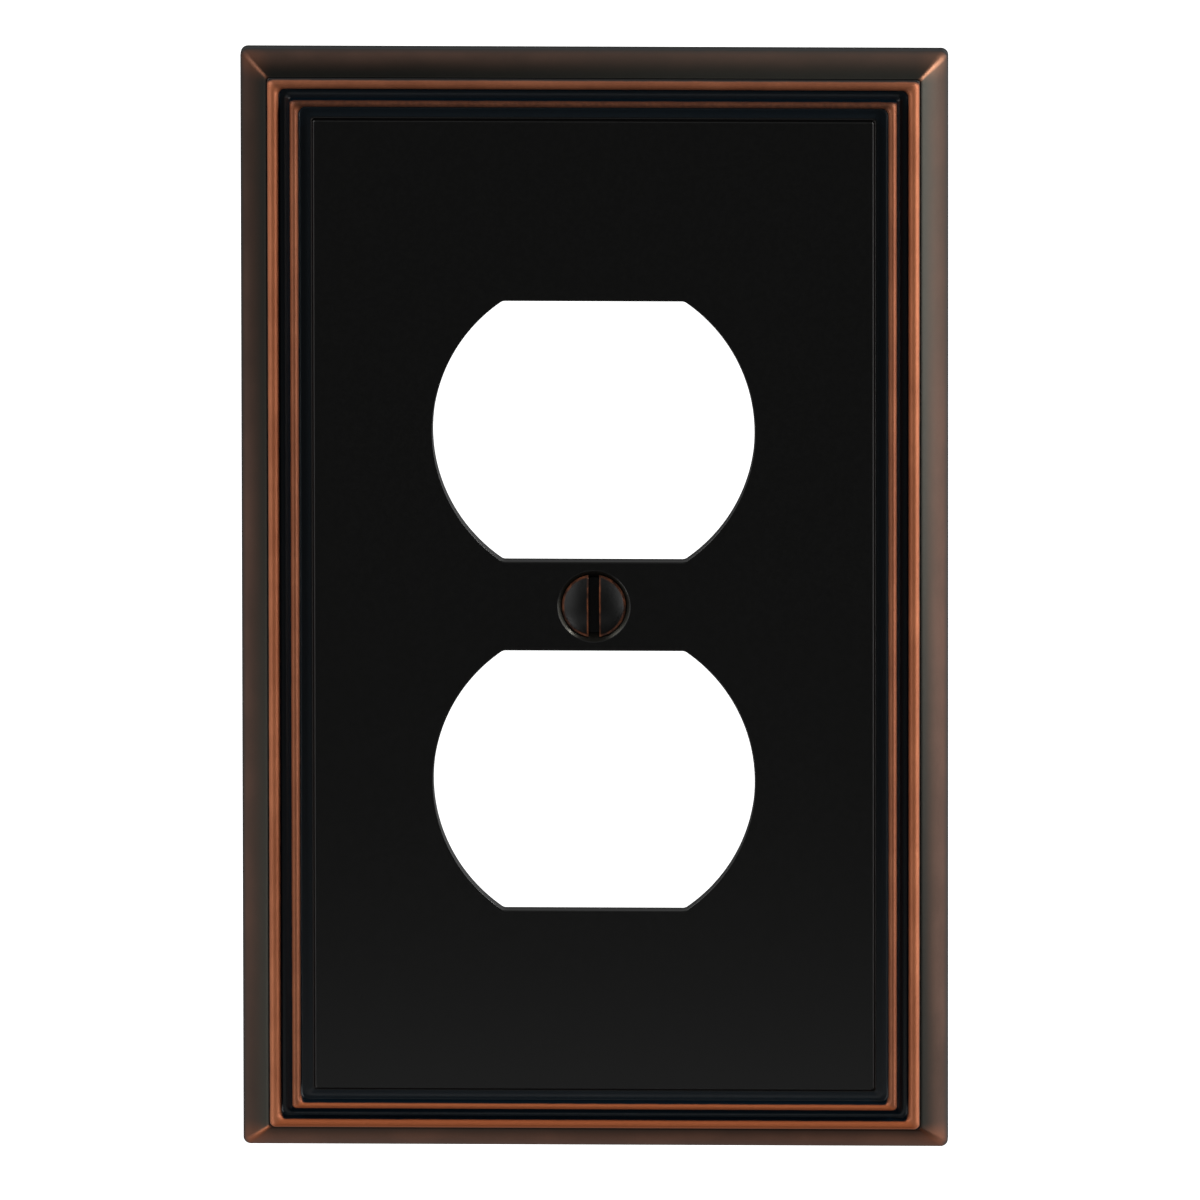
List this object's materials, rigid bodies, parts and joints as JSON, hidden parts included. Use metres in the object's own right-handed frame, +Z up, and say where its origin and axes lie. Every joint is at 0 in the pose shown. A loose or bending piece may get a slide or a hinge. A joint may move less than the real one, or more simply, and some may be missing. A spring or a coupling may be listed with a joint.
{
  "type": "duplex receptacle wall plate",
  "caption": "Upright rectangular cast metal wall plate with a beaded border, flat-sided round receptacle openings and a countersunk mounting screw.",
  "frame": {"origin": "the point where the mounting screw's axis meets the wall plane that the rear rim rests on", "axes": "+Z up, +X to the right as seen from the front, -Y out of the wall towards the viewer"},
  "size_m": [0.0772, 0.0169, 0.1222],
  "materials": {
    "aged_bronze": "near-black satin bronze, rubbed through to copper on the beads and edges",
    "screw_bronze": "near-black satin bronze"
  },
  "bodies": {
    "plate": {"cover_plate": "aged_bronze"},
    "screw": {"mounting_screw": "screw_bronze"}
  },
  "joints": [
    {"name": "screw_travel", "type": "slide", "parent": "plate", "child": "screw", "axis": [0, -1, 0], "range_m": [0, 0.02]}
  ]
}
